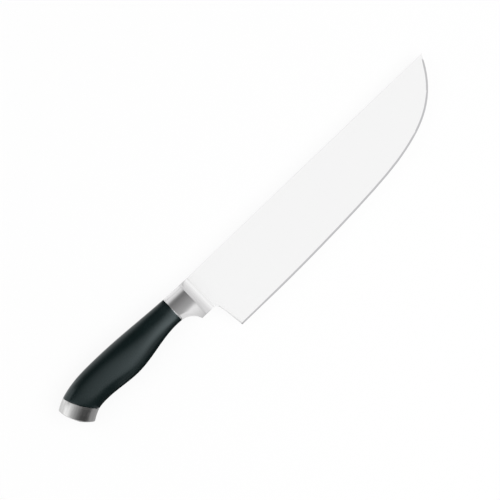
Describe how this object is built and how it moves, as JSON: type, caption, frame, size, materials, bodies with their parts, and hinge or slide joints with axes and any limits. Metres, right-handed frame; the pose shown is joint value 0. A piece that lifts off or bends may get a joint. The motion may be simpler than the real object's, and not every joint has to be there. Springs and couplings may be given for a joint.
{
  "type": "meat knife",
  "caption": "Meat knife with a broad upswept ground blade, forged bolster with finger guard, dark soft-touch grip and brushed steel butt cap.",
  "frame": {"origin": "middle of the bounding box's lowest plane, with the knife on its side and its blade level", "axes": "+X towards the blade's tip, +Y towards the spine with the cutting edge facing -Y, +Z out of the blade's upper side"},
  "size_m": [0.3742, 0.0566, 0.0215],
  "materials": {
    "blade_steel": "fine satin, ground flat",
    "core_plastic": "moulded",
    "soft_rubber": "soft-touch satin",
    "plain_steel": "plain zinc-grey steel",
    "cap_steel": "brushed"
  },
  "bodies": {
    "root": {"blade": "blade_steel", "grip_core": "core_plastic", "grip": "soft_rubber", "tang_washer": "plain_steel", "tang_nut": "plain_steel", "butt_cap": "cap_steel"}
  },
  "joints": []
}
